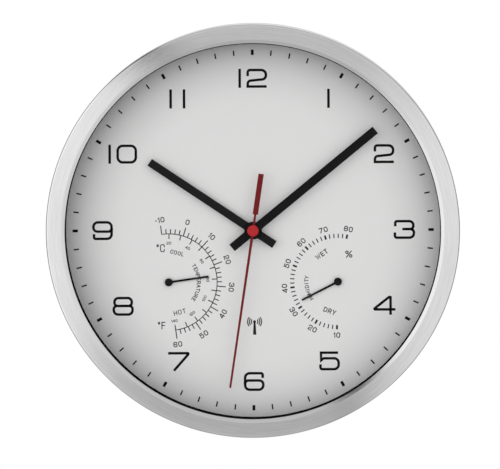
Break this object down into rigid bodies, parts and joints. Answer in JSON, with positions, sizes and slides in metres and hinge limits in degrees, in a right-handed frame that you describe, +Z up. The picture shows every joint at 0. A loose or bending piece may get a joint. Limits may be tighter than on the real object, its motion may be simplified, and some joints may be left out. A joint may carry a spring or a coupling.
{
  "type": "wall clock with thermometer and hygrometer",
  "caption": "Round wall clock with a brushed aluminium bezel, flat bar hands and a thermometer and a hygrometer on its dial, driven by a radio-set quartz movement",
  "frame": {"origin": "on the hands' axis, in the plane of the back, where the clock lies on the wall", "axes": "+Z up to twelve o'clock, +X to three o'clock seen from the front, +Y out of the back into the wall"},
  "size_m": [0.25, 0.0385, 0.25],
  "materials": {
    "brushed_aluminium": "circumferentially brushed, clear anodised",
    "clear_glass": "polished flat mineral glass",
    "black_rubber": "matte",
    "spacer_black": "fine matte moulding",
    "dial_white": "matte white print ground",
    "case_black": "fine spark-eroded grain",
    "zinc_steel": "zinc plated",
    "movement_grey": "satin moulding",
    "hand_black": "stamped aluminium, satin black paint",
    "hand_red": "stamped aluminium, satin red paint",
    "cap_red": "satin red moulding",
    "collet_brass": "turned",
    "wheel_plastic": "natural acetal",
    "magnet_black": "sintered",
    "stator_steel": "stamped",
    "copper_winding": "enamelled copper wire",
    "board_green": "solder mask",
    "chip_black": "moulded epoxy",
    "crystal_can": "drawn can",
    "ferrite": "pressed and fired",
    "battery_wrap": "plain printed film over a can",
    "contact_nickel": "nickel plated strip",
    "button_grey": "satin moulding",
    "cup_plastic": "natural moulding",
    "bimetal": "rolled strip",
    "arbor_steel": "drawn wire"
  },
  "bodies": {
    "case": {"bezel_ring": "brushed_aluminium", "lens_gasket": "black_rubber", "front_lens": "clear_glass", "spacer_ring": "spacer_black", "dial_plate": "dial_white", "rear_case": "case_black", "case_screws": "zinc_steel", "hanger_plate": "zinc_steel", "hanger_screws": "zinc_steel", "movement_front_shell": "movement_grey", "movement_back_cover": "movement_grey", "movement_cover_screws": "zinc_steel", "movement_mount_screws": "zinc_steel", "train_plate": "wheel_plastic", "battery_contact_positive": "contact_nickel", "battery_contact_negative": "contact_nickel", "circuit_board": "board_green", "controller_chip": "chip_black", "quartz_crystal": "crystal_can", "tact_switches": "button_grey", "aerial_rod": "ferrite", "aerial_coil": "copper_winding", "minute_stator": "stator_steel", "minute_coil_core": "stator_steel", "minute_coil": "copper_winding", "second_stator": "stator_steel", "second_coil_core": "stator_steel", "second_coil": "copper_winding", "thermometer_cup": "cup_plastic", "thermometer_bridge": "cup_plastic", "thermometer_spiral": "bimetal", "hygrometer_cup": "cup_plastic", "hygrometer_bridge": "cup_plastic", "hygrometer_spiral": "bimetal"},
    "hour": {"hour_wheel": "wheel_plastic", "hour_hand": "hand_black", "hour_hand_collet": "collet_brass"},
    "minute": {"minute_wheel": "wheel_plastic", "minute_hand": "hand_black", "minute_hand_collet": "collet_brass"},
    "motion": {"motion_wheel": "wheel_plastic"},
    "minute_third": {"minute_third_wheel": "wheel_plastic"},
    "minute_rotor": {"minute_rotor": "wheel_plastic", "minute_magnet": "magnet_black"},
    "second": {"second_wheel": "wheel_plastic", "second_hand": "hand_red", "second_hand_tube": "collet_brass", "second_hand_cap": "cap_red"},
    "second_third": {"second_third_wheel": "wheel_plastic"},
    "second_rotor": {"second_rotor": "wheel_plastic", "second_magnet": "magnet_black"},
    "thermometer_needle": {"thermometer_arbor": "arbor_steel", "thermometer_pointer": "hand_black"},
    "hygrometer_needle": {"hygrometer_arbor": "arbor_steel", "hygrometer_pointer": "hand_black"},
    "battery": {"battery": "battery_wrap"},
    "set_button": {"set_button": "button_grey"},
    "receive_button": {"receive_button": "button_grey"},
    "reset_button": {"reset_button": "button_grey"}
  },
  "joints": [
    {"name": "minute_spin", "type": "hinge", "parent": "case", "child": "minute", "pos_m": [0, -0.0272, 0], "axis": [0, 1, 0], "continuous": true},
    {"name": "hour_spin", "type": "hinge", "parent": "case", "child": "hour", "pos_m": [0, -0.0252, 0], "axis": [0, 1, 0], "continuous": true},
    {"name": "motion_spin", "type": "hinge", "parent": "case", "child": "motion", "pos_m": [-0.009, -0.0169, 0], "axis": [0, 1, 0], "continuous": true},
    {"name": "minute_third_spin", "type": "hinge", "parent": "case", "child": "minute_third", "pos_m": [0.00779, -0.0141, 0.0045], "axis": [0, 1, 0], "continuous": true},
    {"name": "minute_rotor_spin", "type": "hinge", "parent": "case", "child": "minute_rotor", "pos_m": [0.01119, -0.0169, 0.01039], "axis": [0, 1, 0], "continuous": true},
    {"name": "second_spin", "type": "hinge", "parent": "case", "child": "second", "pos_m": [0, -0.0292, 0], "axis": [0, 1, 0], "continuous": true},
    {"name": "second_third_spin", "type": "hinge", "parent": "case", "child": "second_third", "pos_m": [0, -0.0113, 0.007], "axis": [0, 1, 0], "continuous": true},
    {"name": "second_rotor_spin", "type": "hinge", "parent": "case", "child": "second_rotor", "pos_m": [-0.003, -0.0169, 0.0122], "axis": [0, 1, 0], "continuous": true},
    {"name": "thermometer_swing", "type": "hinge", "parent": "case", "child": "thermometer_needle", "pos_m": [-0.0512, -0.023, -0.0313], "axis": [0, 1, 0], "range_deg": [-90, 90], "stiffness_Nm_per_rad": 0.0002, "deforming": ["thermometer_spiral"]},
    {"name": "hygrometer_swing", "type": "hinge", "parent": "case", "child": "hygrometer_needle", "pos_m": [0.0512, -0.023, -0.0313], "axis": [0, 1, 0], "range_deg": [-61.6, 128.5], "stiffness_Nm_per_rad": 0.0002, "deforming": ["hygrometer_spiral"]},
    {"name": "battery_slide", "type": "slide", "parent": "case", "child": "battery", "axis": [0, 1, 0], "range_m": [0, 0.02]},
    {"name": "set_press", "type": "slide", "parent": "case", "child": "set_button", "axis": [0, -1, 0], "range_m": [0, 0.0008], "stiffness_N_per_m": 600},
    {"name": "receive_press", "type": "slide", "parent": "case", "child": "receive_button", "axis": [0, -1, 0], "range_m": [0, 0.0008], "stiffness_N_per_m": 600},
    {"name": "reset_press", "type": "slide", "parent": "case", "child": "reset_button", "axis": [0, -1, 0], "range_m": [0, 0.0008], "stiffness_N_per_m": 600}
  ],
  "couplings": [
    {"joint": "hour_spin", "follows": "minute_spin", "ratio": 0.083333},
    {"joint": "motion_spin", "follows": "minute_spin", "ratio": -0.33333},
    {"joint": "minute_third_spin", "follows": "minute_spin", "ratio": -8},
    {"joint": "minute_rotor_spin", "follows": "minute_spin", "ratio": 60},
    {"joint": "second_third_spin", "follows": "second_spin", "ratio": -6},
    {"joint": "second_rotor_spin", "follows": "second_spin", "ratio": 30}
  ]
}
